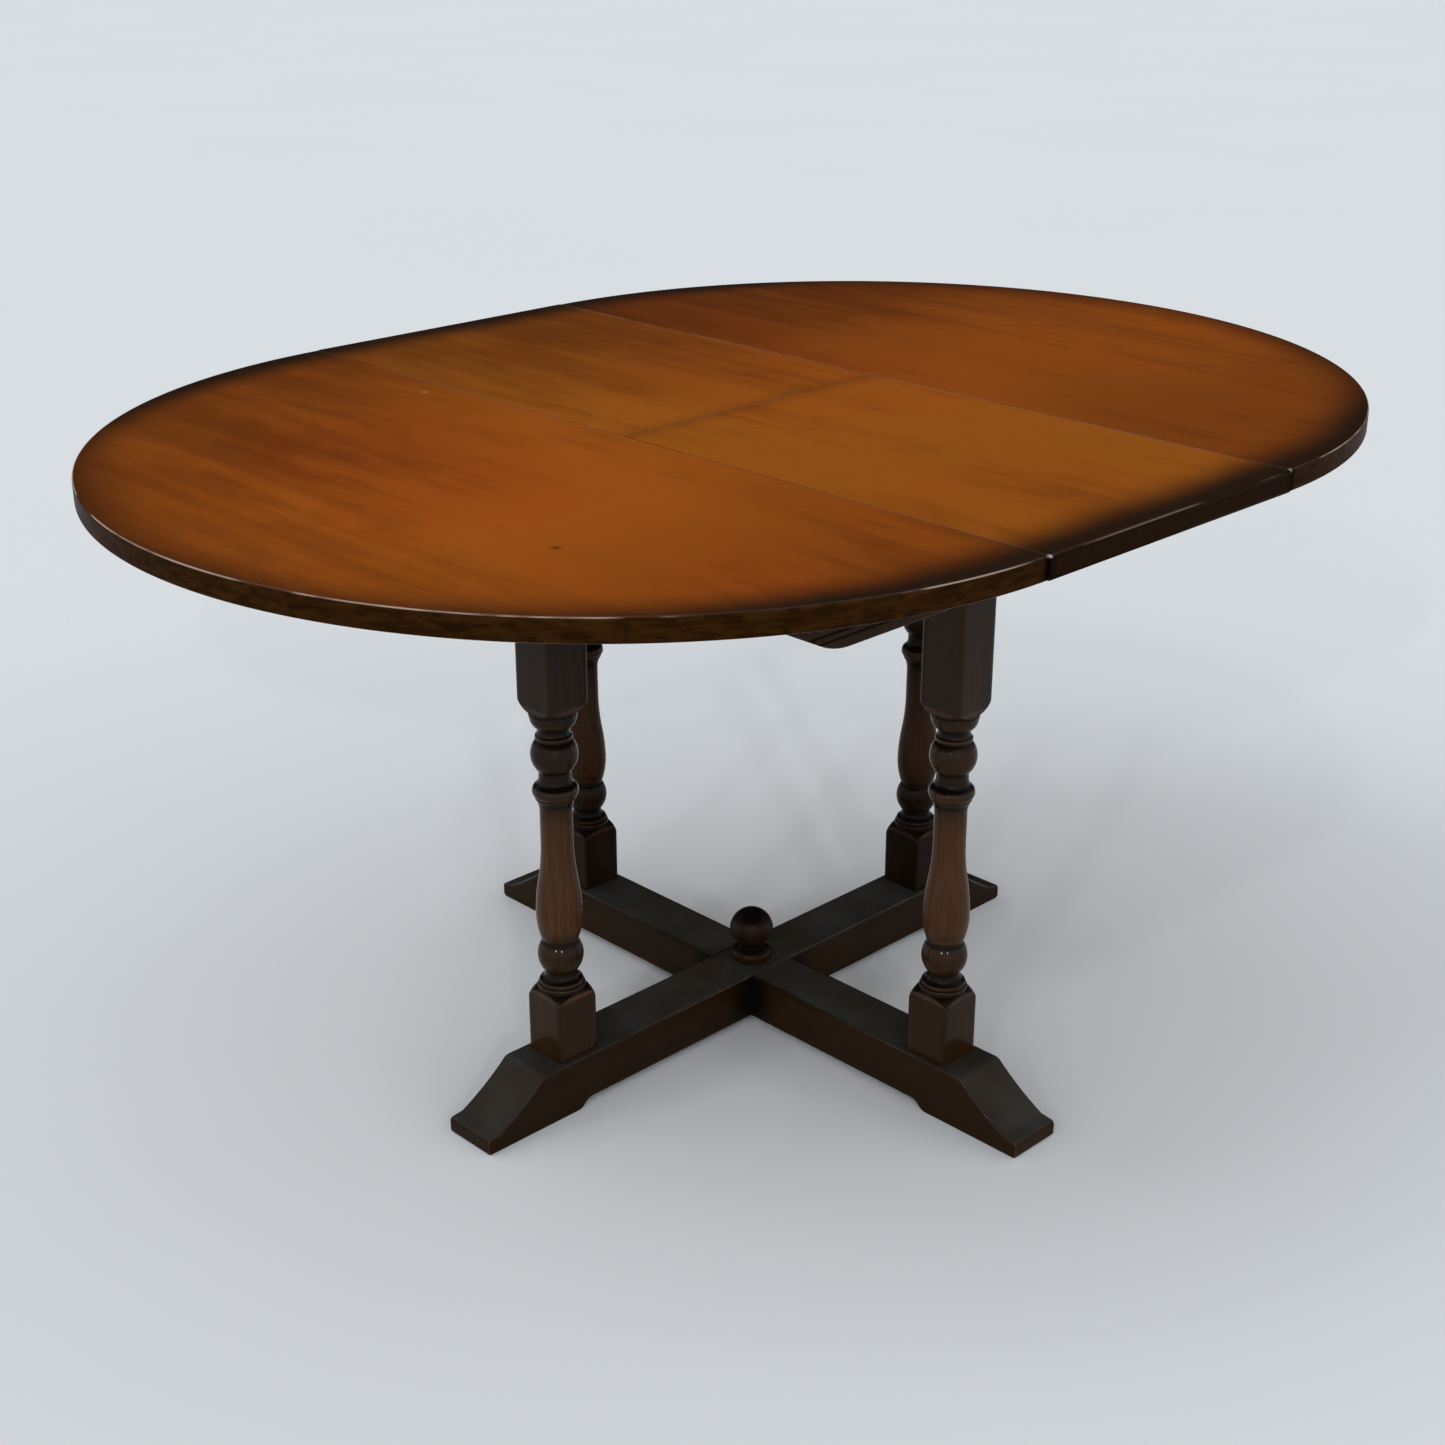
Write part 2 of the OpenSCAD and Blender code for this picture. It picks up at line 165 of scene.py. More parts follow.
def slab(name, points, eases, low, high, place):
    """Slab between low and high across an outline, with eased arrises.

    place turns (outline x, outline y, height) into a place in the frame. eases holds the
    width of the arris along each edge of the outline, and the largest is also its depth.
    """
    depth = max(eases)
    rings = []
    for step in range(ARRIS_STEPS + 1):
        turn = math.pi / 2 * step / ARRIS_STEPS
        rings.append((1 - math.cos(turn), depth * (1 - math.sin(turn)), math.sin(2 * turn)))
    rings.append((1 + SUPPORT, 0.0, 0.0))
    rings.insert(0, (0.0, depth * (1 + SUPPORT), 0.0))
    levels = [(share, low + d, worn) for share, d, worn in reversed(rings)]
    levels += [(share, high - d, worn) for share, d, worn in rings]
    verts, relief = [], []
    for share, height, worn in levels:
        for p in inset(points, eases, share):
            verts.append(place(p.x, p.y, height))
            relief.append(worn)
    count = len(points)
    faces = [list(range(count - 1, -1, -1))]
    for ring in range(len(levels) - 1):
        for i in range(count):
            j = (i + 1) % count
            faces.append((ring * count + i, ring * count + j,
                          (ring + 1) * count + j, (ring + 1) * count + i))
    last = (len(levels) - 1) * count
    faces.append([last + i for i in range(count)])
    piece = new_piece(name, verts, faces, relief)
    fix_winding(piece)
    flatten_normals(piece)
    return piece


def fix_winding(piece):
    """Turns every face outwards."""
    shape = bmesh.new()
    shape.from_mesh(piece.data)
    bmesh.ops.recalc_face_normals(shape, faces=shape.faces)
    shape.to_mesh(piece.data)
    shape.free()


def flatten_broad_faces(piece):
    """Gives a carved piece's broad faces flat shading, and leaves its arrises smooth."""
    mesh = piece.data
    if "custom_normal" in mesh.attributes:
        mesh.attributes.remove(mesh.attributes["custom_normal"])
    for face in mesh.polygons:
        corners = [mesh.vertices[i].co for i in face.vertices]
        longest = max((a - b).length for a, b in zip(corners, corners[1:] + corners[:1]))
        face.use_smooth = face.area < longest * BROAD


def carve(piece, cutters):
    """Cuts the cutters out of the piece and removes them."""
    for cutter in cutters:
        cut = piece.modifiers.new("cut", "BOOLEAN")
        cut.operation = "DIFFERENCE"
        cut.solver = "MANIFOLD"
        cut.object = cutter
    bpy.context.view_layer.update()
    apply_modifiers(piece)
    for cutter in cutters:
        bpy.data.objects.remove(cutter)
    flatten_broad_faces(piece)
    return piece


def block(name, low, high):
    """Plain box used as a cutter."""
    (x0, y0, z0), (x1, y1, z1) = low, high
    verts = [(x, y, z) for z in (z0, z1) for y in (y0, y1) for x in (x0, x1)]
    faces = [(0, 2, 3, 1), (4, 5, 7, 6), (0, 1, 5, 4), (2, 3, 7, 6), (0, 4, 6, 2), (1, 3, 7, 5)]
    piece = new_piece(name, verts, faces, [0.0] * len(verts))
    fix_winding(piece)
    return piece


def rod(name, start, end, radius, sides=32):
    """Round bar used as a cutter."""
    start, end = Vector(start), Vector(end)
    along = (end - start).normalized()
    across = along.orthogonal().normalized()
    up = along.cross(across)
    verts = []
    for middle in (start, end):
        for i in range(sides):
            turn = 2 * math.pi * i / sides
            verts.append(middle + radius * (math.cos(turn) * across + math.sin(turn) * up))
    faces = [list(range(sides - 1, -1, -1)), list(range(sides, 2 * sides))]
    for i in range(sides):
        j = (i + 1) % sides
        faces.append((i, j, sides + j, sides + i))
    piece = new_piece(name, verts, faces, [0.0] * len(verts))
    fix_winding(piece)
    return piece


RING_PITCH = 1.2 * MM  # Greatest height between two rings of a turned piece
TREND_REACH = 7 * MM  # Reach up and down of the mean radius that relief starts from
FULL_RELIEF = 2.2 * MM  # Distance from that mean radius at which relief is 1
# Radii as shares of half the width of a square block
SQUARE_FROM = 1.3
CAP = 1.42
ARRIS_R = 1.385
ARRIS_BLEND = 3 * MM
BLOCK_BLEND = 1.0 * MM
ARRIS_SHARPNESS = 60
ARRIS_RELIEF = 0.10


def smooth_min(a, b, blend):
    """The smaller of a and b, rounded over where they meet."""
    gap = max(blend - abs(a - b), 0.0) / blend
    return min(a, b) - gap * gap * blend / 4


def turned(name, profile, middle, half_w=None, sides=144):
    """Lathe-turned solid, cut to a square of half_w where one is given.

    profile holds (radius, height) points from the bottom to the top of the axis.
    """
    heights, radii = [], []
    for start, end in zip(profile, profile[1:]):
        steps = max(1, math.ceil(abs(end.y - start.y) / RING_PITCH))
        for step in range(steps):
            heights.append(start.y + (end.y - start.y) * step / steps)
            radii.append(start.x + (end.x - start.x) * step / steps)
    heights.append(profile[-1].y)
    radii.append(profile[-1].x)

    def capped(radius):
        return min(radius, half_w * CAP) if half_w else radius

    verts, relief = [], []
    for height, radius in zip(heights, radii):
        square = half_w and radius > half_w * SQUARE_FROM
        near = [capped(r) for h, r in zip(heights, radii) if abs(h - height) < TREND_REACH]
        bump = 0.0 if square else (capped(radius) - sum(near) / len(near)) / FULL_RELIEF
        for i in range(sides):
            turn = 2 * math.pi * i / sides
            length = radius
            corner = 0.0
            if half_w:
                flat = half_w / max(abs(math.cos(turn)), abs(math.sin(turn)))
                section = smooth_min(flat, half_w * ARRIS_R, ARRIS_BLEND)
                length = smooth_min(radius, section, BLOCK_BLEND)
            if square:
                off_corner = abs(math.sin(2 * turn) ** 2 - 1)
                corner = max(0.0, 1 - off_corner * ARRIS_SHARPNESS)
            verts.append((middle[0] + length * math.cos(turn),
                          middle[1] + length * math.sin(turn), height))
            relief.append(max(-1.0, min(1.0, bump + ARRIS_RELIEF * corner)))
    faces = []
    for ring in range(len(heights) - 1):
        for i in range(sides):
            j = (i + 1) % sides
            faces.append((ring * sides + i, ring * sides + j,
                          (ring + 1) * sides + j, (ring + 1) * sides + i))
    faces.append(list(range(sides - 1, -1, -1)))
    last = (len(heights) - 1) * sides
    faces.append([last + i for i in range(sides)])
    return new_piece(name, verts, faces, relief)


# ---------- Pieces ----------

OUTER_EASE = 2.5 * MM
SEAM_EASE = 0.7 * MM
END_SHORT = 0.3 * MM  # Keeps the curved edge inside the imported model's box
END_ARC_STEPS = 220


def end_board(side):
    """Half-round end board; side is 1 on the right and -1 on the left."""
    points = [Vector((SEAM_X, END_R)), Vector((SEAM_X, -END_R))]
    for step in range(1, END_ARC_STEPS):
        turn = -math.pi / 2 + math.pi * step / END_ARC_STEPS
        x = SEAM_X + (END_R - END_SHORT) * math.cos(turn)
        points.append(Vector((x, END_R * math.sin(turn))))
    eases = [SEAM_EASE] + [OUTER_EASE] * END_ARC_STEPS
    name = "end_board_right" if side > 0 else "end_board_left"

    def place(x, y, z):
        return side * x, side * y, z

    return slab(name, points, eases, BOARD_LOW, BOARD_HIGH, place)


BORE_OVER = 2 * MM
BORE_ROOM = 0.5 * MM
BORE_GAP = 0.1 * MM


def leaf_board(side):
    """Half of the leaf, bored for its hinge barrels; side is 1 at the back, -1 at the front."""
    half_l, edge_y, joint_y = LEAF_HIGH.x, LEAF_HIGH.y, LEAF_LOW.y
    corners = ((-half_l, joint_y), (half_l, joint_y), (half_l, edge_y), (-half_l, edge_y))
    points = [Vector(corner) for corner in corners]
    eases = [SEAM_EASE, SEAM_EASE, OUTER_EASE, SEAM_EASE]
    name = "leaf_board_back" if side > 0 else "leaf_board_front"

    def place(x, y, z):
        return side * x, side * y, z

    board = slab(name, points, eases, BOARD_LOW, BOARD_HIGH, place)
    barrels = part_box("leaf_barrels_back")
    radius = (barrels[1].z - barrels[0].z) / 2
    pitch = barrels[1].x - radius
    height = (barrels[1].z + barrels[0].z) / 2
    bores = []
    for i in (-1, 0, 1):
        start = (i * pitch, -side * BORE_OVER, height)
        end = (i * pitch, side * (barrels[1].y + BORE_ROOM), height)
        bores.append(rod(f"bore_{i + 1}", start, end, radius + BORE_GAP))
    return carve(board, bores)


PAD_IN = FOOT_HALF - 132 * MM
RAMP_TOP = FOOT_HALF - 81 * MM
TIP_H = 20 * MM
FOOT_EASE = 2.2 * MM
NOTCH_GAP = 0.15 * MM
NOTCH_OVER = 2 * MM


def foot_rail(name, long):
    """Foot rail with pads, an arch and ramped tips, halved over the other one."""
    half = outline([
        (PAD_IN - 21 * MM, FOOT_ARCH, 0),
        (PAD_IN - 10 * MM, FOOT_ARCH * 0.55, -1.2 * MM),
        (PAD_IN, 0, 1.2 * MM),
        (FOOT_HALF - 5 * MM, 0, 0),
        (FOOT_HALF, 5 * MM, 1.46 * MM),
        (FOOT_HALF, TIP_H - 5 * MM, 0),
        (FOOT_HALF - 5 * MM, TIP_H, 1.46 * MM),
        (FOOT_HALF - 18 * MM, TIP_H + 1.5 * MM, 0),
        (RAMP_TOP, FOOT_HIGH - 1.5 * MM, -2.4 * MM),
        (RAMP_TOP - 6 * MM, FOOT_HIGH, 0.35 * MM),
    ], steps=8)
    points = mirrored(half)
    eases = [FOOT_EASE] * len(points)

    def place(x, z, y):
        return (x, y, z) if long else (-y, x, z)

    rail = slab(name, points, eases, -FOOT_HALF_W, FOOT_HALF_W, place)
    reach = FOOT_HALF_W + NOTCH_GAP
    wide = 2 * FOOT_HALF_W
    if long:
        notch = block("notch", (-reach, -wide, -NOTCH_OVER), (reach, wide, HALVING_Z))
    else:
        notch = block("notch", (-wide, -reach, HALVING_Z), (wide, reach, FOOT_HIGH + NOTCH_OVER))
    return carve(rail, [notch])


TURN_LOW = 129 * MM  # Top of the lower block
TURN_HIGH = 499 * MM  # Foot of the upper block
BLOCK_R = LEG_HALF_W * 1.44  # Radius that leaves a block square
TENON_R = 13 * MM
TENON_L = 30 * MM


def heights_from(base, corners):
    """Profile corners whose radius, height above base and bulge are in millimetres."""
    return [(r * MM, base + z * MM, bulge * MM) for r, z, bulge in corners]


def leg(name, x, y):
    """Turned leg with square blocks, from the foot rail to the bearer."""
    profile = outline(
        [(TENON_R, FOOT_HIGH - TENON_L, 0), (TENON_R, FOOT_HIGH, 0),
         (BLOCK_R, FOOT_HIGH, 0), (BLOCK_R, TURN_LOW, 0)]
        # Shoulder of the lower block, double ring, neck, ball and vase
        + heights_from(TURN_LOW, [
            (27.5, 18, 2.2), (25.8, 18.8, 0), (25.4, 24.2, 1.3), (24.4, 24.7, 0),
            (23.6, 29, 0.8), (22.6, 29.5, 0), (18.2, 37, -1), (18.4, 40, 0),
            (19.4, 77.5, 6.9), (19.4, 78.7, 0), (21.2, 80.5, 0.4), (26, 113, 1.4),
            (21.4, 156, 0.9), (18.1, 201, -0.9), (18, 234, 0), (21.6, 249.5, -1),
            (22.6, 251, 0.3), (21.8, 251.8, 0), (22.2, 266.5, 3.6), (21, 267.3, 0),
            (17.8, 277, -1), (17.8, 282, 0), (18.6, 283.5, 0), (19, 320, 7.3),
            (20.6, 321, 0), (20.4, 324, 0)])
        # Neck, collar and shoulder of the upper block
        + heights_from(TURN_HIGH, [
            (17.6, -40.5, -0.5), (17.7, -37.5, 0), (25.9, -24, 2), (26.5, -19.4, 0.4),
            (25, -18.6, 0), (BLOCK_R / MM, 0, 2.6)])
        + [(BLOCK_R, LEG_TOP, 0), (TENON_R, LEG_TOP, 0), (TENON_R, LEG_TOP + TENON_L, 0)])
    return turned(name, profile, (x, y), half_w=LEG_HALF_W)


def finial():
    """Ball on a ring over the crossing."""
    profile = outline(heights_from(FOOT_HIGH, [
        (7, -40, 0), (7, 0, 0), (22, 0, 0), (25.4, 9, 0.9), (17.2, 18.5, 1.6),
        (17.8, 25, -0.5), (26.3, 43, 2.3), (0.05, 66.5, 6.7)]), steps=16)
    return turned("finial_ball", profile, (0, 0), sides=96)


RAIL_LOW_HALF = 244 * MM  # Half of the rail's length along its lower edge
RAIL_EASE = 1.8 * MM
RAIL_OVER = 5 * MM
BEAD_HEIGHTS = (12 * MM, 19.5 * MM)
BEAD_R = 1.6 * MM
BEAD_IN = 0.4 * MM
GROOVE_DROP = 36.2 * MM  # From the underside of the top to the foot of the runner's groove
GROOVE_H = 8.4 * MM
GROOVE_DEPTH = 8.2 * MM
GROOVE_OVER = 1 * MM


def side_rail(name, side):
    """Canted side rail with two scratched beads outside and a runner's groove inside."""
    half = outline([
        (RAIL_LOW_HALF - 20 * MM, RAIL_LOW.z, 0),
        (RAIL_LOW_HALF + 18 * MM, RAIL_LOW.z + 9 * MM, 2.2 * MM),
        (RAIL_HIGH.x, RAIL_HIGH.z - 14 * MM, 0),
        (RAIL_HIGH.x, RAIL_HIGH.z, 0)])
    points = mirrored(half)

    def place(x, z, y):
        return side * x, side * y, z

    rail = slab(name, points, [RAIL_EASE] * len(points), RAIL_LOW.y, RAIL_HIGH.y, place)
    reach = RAIL_HIGH.x + RAIL_OVER
    y = side * (RAIL_HIGH.y - BEAD_IN)
    cutters = []
    for i, height in enumerate(BEAD_HEIGHTS):
        z = RAIL_LOW.z + height
        cutters.append(rod(f"bead_{i}", (-reach, y, z), (reach, y, z), BEAD_R, sides=16))
    low = BOARD_LOW - GROOVE_DROP
    y0, y1 = sorted((side * (RAIL_LOW.y - GROOVE_OVER), side * (RAIL_LOW.y + GROOVE_DEPTH)))
    cutters.append(block("groove", (-reach, y0, low), (reach, y1, low + GROOVE_H)))
    return carve(rail, cutters)


# ---------- Materials ----------

# Stained tops, from their lightest to their deepest streaks
END_LIGHT = (0.285, 0.070, 0.0045, 1)
END_DEEP = (0.175, 0.041, 0.0026, 1)
LEAF_LIGHT = (0.275, 0.078, 0.0050, 1)
LEAF_DEEP = (0.172, 0.045, 0.0030, 1)
RIGHT_LIGHT = (0.235, 0.057, 0.0038, 1)
RIGHT_DEEP = (0.145, 0.033, 0.0022, 1)
REDDENED = (1.0, 0.72, 0.9, 1)  # Multiplied in where the stain is redder
FLECK = (0.36, 0.17, 0.06, 1)
KNOT = (0.045, 0.013, 0.004, 1)
TOP_PORE = (0.05, 0.012, 0.003, 1)
UNDERSIDE = (0.12, 0.06, 0.03, 1)
# Stain along the outer edge, the seams and the middle joint
RIM = (0.016, 0.0062, 0.0020, 1)
EDGE_LIGHT = (0.032, 0.0122, 0.0026, 1)
EDGE_DEEP = (0.012, 0.0046, 0.0010, 1)
LEAF_EDGE = (0.013, 0.0062, 0.0020, 1)
SEAM = (0.02, 0.008, 0.003, 1)
SEAM_END = (0.004, 0.0025, 0.0015, 1)
JOINT = (0.03, 0.010, 0.003, 1)
# Finish rubbed through, which also serves as a painted highlight along the arris, and finish
# chipped off
ARRIS_WEAR_AND_HIGHLIGHT = (0.36, 0.27, 0.22, 1)
CHIPPED = (0.34, 0.33, 0.31, 1)
# Near-black wood of the base; the first two are scaled by each piece's stain and painted shade
DARK_DEEP = (0.0095, 0.0047, 0.0017)
DARK_LIGHT = (0.029, 0.0130, 0.0040)
DARK_RUBBED = (0.102, 0.0415, 0.0150, 1)
DARK_PORE = (0.004, 0.002, 0.001, 1)
# Stain settled in the hollows, also used as painted shade on faces turned up
SETTLED_STAIN_AND_SHADE = (0.003, 0.0018, 0.0012, 1)
# Painted shade in the corners by the crossing of the foot rails
CORNER_SHADE = (0.003, 0.0020, 0.0012, 1)
# Grey of dust together with a painted sheen on faces turned up
DUSTING_AND_SHEEN = (0.034, 0.038, 0.036, 1)
# Bare wood of the hidden frame, and its metal
PLAIN_DEEP = (0.17, 0.085, 0.036, 1)
PLAIN_LIGHT = (0.29, 0.165, 0.08, 1)
PLAIN_PORE = (0.07, 0.035, 0.015, 1)
STEEL = (0.60, 0.60, 0.62, 1)
STEEL_DULL = (0.36, 0.35, 0.34, 1)
BRASS = (0.80, 0.60, 0.27, 1)
BRASS_DULL = (0.50, 0.33, 0.12, 1)
FLOOR_LOW = (0.632, 0.665, 0.695, 1)
FLOOR_HIGH = (0.638, 0.672, 0.702, 1)
BLACK = (0.0, 0.0, 0.0, 1)
WHITE = (1.0, 1.0, 1.0, 1)


class Graph:
    """Short names for building a material's nodes."""

    def __init__(self, name):
        self.material = bpy.data.materials.new(name)
        self.material.use_nodes = True
        self.tree = self.material.node_tree
        self.shader = self.tree.nodes["Principled BSDF"]

    def node(self, kind, **settings):
        made = self.tree.nodes.new(kind)
        for key, value in settings.items():
            setattr(made, key, value)
        return made

    def feed(self, socket, value):
        if isinstance(value, bpy.types.NodeSocket):
            self.tree.links.new(value, socket)
        elif value is not None:
            socket.default_value = value

    def math(self, operation, a, b=None, c=None, clamp=False):
        made = self.node("ShaderNodeMath", operation=operation, use_clamp=clamp)
        for socket, value in zip(made.inputs, (a, b, c)):
            self.feed(socket, value)
        return made.outputs[0]

    def between(self, value, low, high, out_low=0.0, out_high=1.0):
        """value's place between low and high, smoothed at both ends."""
        made = self.node("ShaderNodeMapRange", interpolation_type="SMOOTHSTEP")
        for socket, entry in zip(made.inputs, (value, low, high, out_low, out_high)):
            self.feed(socket, entry)
        return made.outputs[0]

    def mix(self, share, a, b, blend="MIX"):
        made = self.node("ShaderNodeMix", data_type="RGBA", blend_type=blend)
        self.feed(made.inputs["Factor"], share)
        self.feed(made.inputs[6], a)
        self.feed(made.inputs[7], b)
        return made.outputs[2]

    def noise(self, vector, scale, detail=3.0, roughness=0.5, distortion=0.0, shift=(0, 0, 0)):
        """Noise, 0 to 1, with a scale for each axis."""
        moved = self.stretched(vector, scale, shift)
        made = self.node("ShaderNodeTexNoise")
        self.feed(made.inputs["Vector"], moved)
        for key, value in (("Scale", 1.0), ("Detail", detail), ("Roughness", roughness),
                           ("Distortion", distortion)):
            self.feed(made.inputs[key], value)
        return made.outputs["Fac"]

    def place(self):
        return self.node("ShaderNodeTexCoord").outputs["Object"]

    def stretched(self, vector, scale, shift=(0, 0, 0)):
        made = self.node("ShaderNodeMapping")
        self.feed(made.inputs["Vector"], vector)
        made.inputs["Location"].default_value = shift
        made.inputs["Scale"].default_value = scale
        return made.outputs[0]

    def split(self, vector):
        made = self.node("ShaderNodeSeparateXYZ")
        self.feed(made.inputs[0], vector)
        return made.outputs

    def relief(self):
        return self.node("ShaderNodeAttribute", attribute_name="relief").outputs["Fac"]

    def bump(self, height, strength, distance, normal=None):
        made = self.node("ShaderNodeBump")
        made.inputs["Strength"].default_value = strength
        made.inputs["Distance"].default_value = distance
        self.feed(made.inputs["Height"], height)
        self.feed(made.inputs["Normal"], normal)
        return made.outputs[0]


def along_grain(axis, across, along):
    """Scale that stretches a pattern along the grain axis."""
    return tuple(along if i == "XYZ".index(axis) else across for i in range(3))


PITH = (0.05, 0.09)  # Place of the growth rings' middle across the grain
PITH_WANDER = 0.05
# Scales of the figure's patterns, across the grain and along it
WANDER_SCALE = (9, 1.5)
BROAD_SCALE = (14, 1.6)
FINE_SCALE = (260, 7)
PORE_SCALE = (1100, 26)
PORE_RANGE = (0.6, 0.72)


def wood_figure(g, place, axis, shift, rings_per_metre):
    """Rings, broad streaks, fine streaks and pores of wood with its grain along axis, 0 to 1."""
    moved = g.stretched(place, (1, 1, 1), shift)
    wander = g.noise(moved, along_grain(axis, *WANDER_SCALE), 3.0)
    parts = g.split(moved)
    u, v = [parts[i] for i in range(3) if i != "XYZ".index(axis)]
    square_u = g.math("POWER", g.math("ADD", u, PITH[0]), 2.0)
    square_v = g.math("POWER", g.math("ADD", v, PITH[1]), 2.0)
    from_pith = g.math("SQRT", g.math("ADD", square_u, square_v))
    warped = g.math("MULTIPLY_ADD", wander, PITH_WANDER, from_pith)
    wave = g.math("SINE", g.math("MULTIPLY", warped, rings_per_metre * 2 * math.pi))
    broad = g.noise(moved, along_grain(axis, *BROAD_SCALE), 3.0, 0.55, 0.3)
    fine = g.noise(moved, along_grain(axis, *FINE_SCALE), 4.0, 0.6)
    pores = g.noise(moved, along_grain(axis, *PORE_SCALE), 2.0, 0.5)
    return {"rings": g.math("MULTIPLY_ADD", wave, 0.5, 0.5), "broad": broad, "fine": fine,
            "pores": g.between(pores, *PORE_RANGE)}


COAT_IOR = 1.27
COAT_SMOOTHEST = 0.02
COAT_SMEAR = 0.10
GLOSS_SMEAR = 0.16
PORE_ROUGHNESS = 0.12
SMEAR_SCALE = (5, 5, 5)
WAVE_SCALE = (9, 9, 9)
WAVE_H = 6 * MM
FIGURE_H = 0.5 * MM


def lacquer(g, figure, gloss, coat, specular, polished, dull=0.0):
    """Roughness, coat and bump of a lacquered wood, with polished coat on its proud parts.

    dull is the share of the shine lost, which can differ from place to place.
    """
    shine = g.math("SUBTRACT", 1.0, dull)
    place = g.place()
    smears = g.noise(place, SMEAR_SCALE, 5.0, 0.65, shift=(3, 1, 2))
    rough = g.math("MULTIPLY_ADD", smears, GLOSS_SMEAR, gloss - GLOSS_SMEAR / 2)
    rough = g.math("MULTIPLY_ADD", figure["pores"], PORE_ROUGHNESS, rough)
    g.feed(g.shader.inputs["Roughness"], rough)
    coated = g.between(g.relief(), 0.1, 0.9, coat, polished)
    g.feed(g.shader.inputs["Coat Weight"], g.math("MULTIPLY", coated, shine))
    coat_rough = g.math("MULTIPLY_ADD", smears, COAT_SMEAR, COAT_SMOOTHEST)
    g.feed(g.shader.inputs["Coat Roughness"], coat_rough)
    g.feed(g.shader.inputs["Specular IOR Level"], g.math("MULTIPLY", specular, shine))
    g.shader.inputs["Coat IOR"].default_value = COAT_IOR
    height = g.math("MULTIPLY_ADD", figure["pores"], -0.8, g.math("MULTIPLY", figure["fine"], 0.5))
    waves = g.noise(place, WAVE_SCALE, 2.0)
    wavy = g.bump(waves, 0.12, WAVE_H)
    g.feed(g.shader.inputs["Normal"], g.bump(height, 0.2, FIGURE_H, wavy))


def near_point(g, x, y, spot, reach):
    """1 at a spot seen from above, falling to 0 at its reach."""
    dx = g.math("SUBTRACT", x, spot[0])
    dy = g.math("SUBTRACT", y, spot[1])
    away = g.math("SQRT", g.math("ADD", g.math("POWER", dx, 2.0), g.math("POWER", dy, 2.0)))
    return g.between(away, reach, 0.0)


TOP_RINGS = 60.0  # Rings per metre
# Shares of the patterns in the tone of a top, and the tones of its two colours
FINE_SHARE = 0.26
BROAD_SHARE = 0.6
MIDDLING_SHARE = 0.38
MOTTLE_SHARE = 0.20
CLOUD_SHARE = 0.4
INNER_SHARE = 0.12
# Painted shade: share of y in the tone, darker towards the back
BACK_SHADE_SHARE = -0.22
TOP_TONES = (0.72, 1.11)
MIDDLING_SCALE = (48, 5)
CLOUD_SCALE = (4.5, 2.6, 4)
MOTTLE_SCALE = (30, 17, 30)
RED_SCALE = (3.5, 2.2, 3)
# Painted shade towards the front of the ends and of the leaf
FRONT_SHADE, LEAF_FRONT_SHADE = 0.26, 0.08
CORNER_FROM, CORNER_EXTRA = 0.36, 0.035  # The rim is wider at the ends of the seams
JOINT_HALF_W = 0.03
RIM_OUT, RIM_IN = -0.026, 0.080  # Where the dark rim is full and where it ends
RIM_POWER = 1.7
SEAM_END_REACH = 14 * MM
CHIP_REACH = 4.5 * MM
CHIP_DEPTHS = (2.6 * MM, 1.6 * MM)
WORN_DEPTHS = (3 * MM, 1 * MM)
SIDE_FACE = (1.8 * MM, 0.4 * MM)
SEAM_FADE = (4 * MM, 8 * MM)
UNDERSIDE_FADE = 1 * MM


